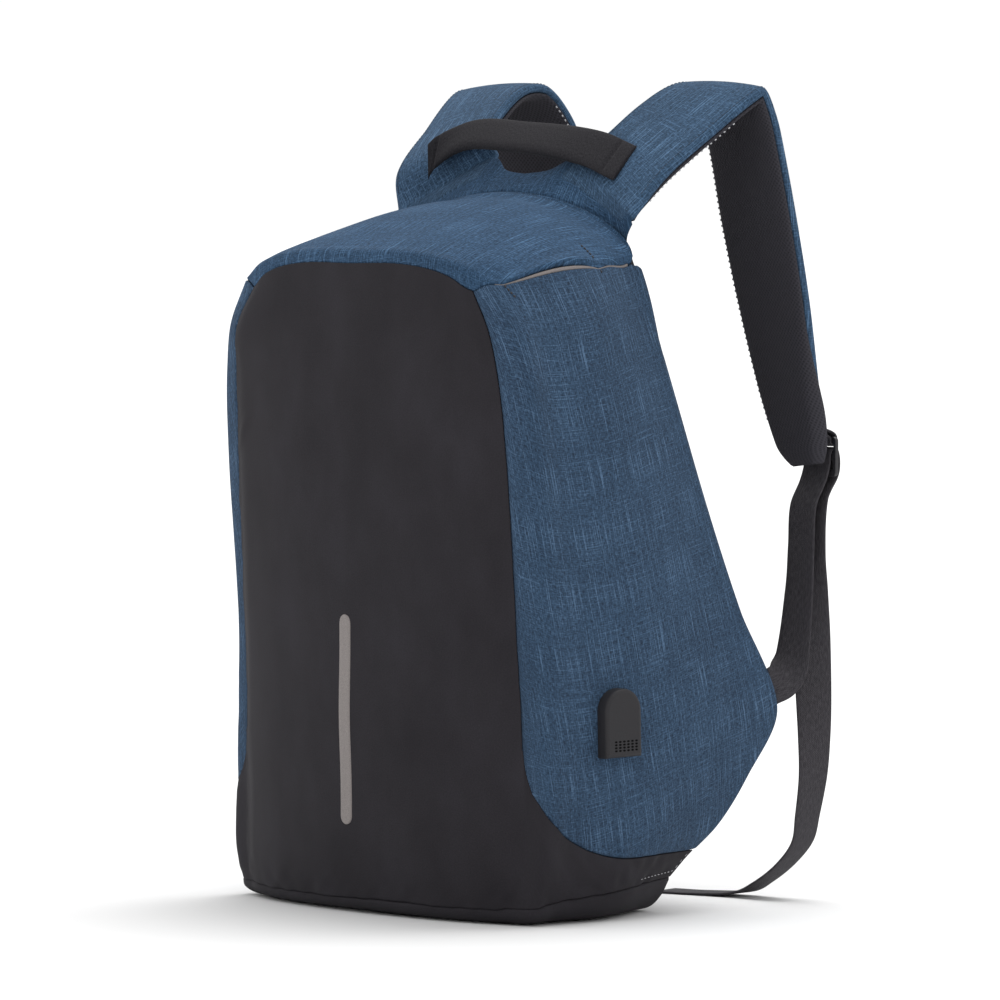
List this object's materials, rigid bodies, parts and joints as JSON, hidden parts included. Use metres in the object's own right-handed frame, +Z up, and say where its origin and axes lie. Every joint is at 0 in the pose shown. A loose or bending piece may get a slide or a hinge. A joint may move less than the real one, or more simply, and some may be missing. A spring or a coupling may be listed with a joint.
{
  "type": "anti theft backpack",
  "caption": "Domed backpack with a smooth front, concealed back zip, side charging port, carry handle and padded shoulder straps folded over behind it.",
  "frame": {"origin": "middle of the flat underside of the base", "axes": "+Z up, the bag's front towards -Y, the wearer's back towards +Y, the side with the charging port towards +X"},
  "size_m": [0.331, 0.3044, 0.5324],
  "materials": {
    "heather_cloth": "blue heather polyester weave",
    "black_cloth": "smooth coated black nylon",
    "air_mesh": "black padded air mesh",
    "webbing": "black woven webbing and tape",
    "reflective_tape": "grey reflective tape",
    "black_plastic": "matt moulded plastic"
  },
  "bodies": {
    "root": {"front_panel": "black_cloth", "base_panel": "black_cloth", "top_panel": "heather_cloth", "side_panel_right": "heather_cloth", "side_panel_left": "heather_cloth", "back_panel": "air_mesh", "main_zip": "webbing", "zip_slider": "black_plastic", "reflective_stripe": "reflective_tape", "slit_trim_right": "reflective_tape", "slit_trim_left": "reflective_tape", "strap_yoke": "heather_cloth", "carry_handle": "webbing", "strap_shell_right": "heather_cloth", "strap_shell_left": "heather_cloth", "strap_mesh_right": "air_mesh", "strap_mesh_left": "air_mesh", "strap_webbing_right": "webbing", "strap_webbing_left": "webbing", "strap_adjuster_right": "black_plastic", "strap_adjuster_left": "black_plastic", "adjuster_loop_right": "webbing", "adjuster_loop_left": "webbing", "usb_port": "black_plastic"}
  },
  "joints": []
}
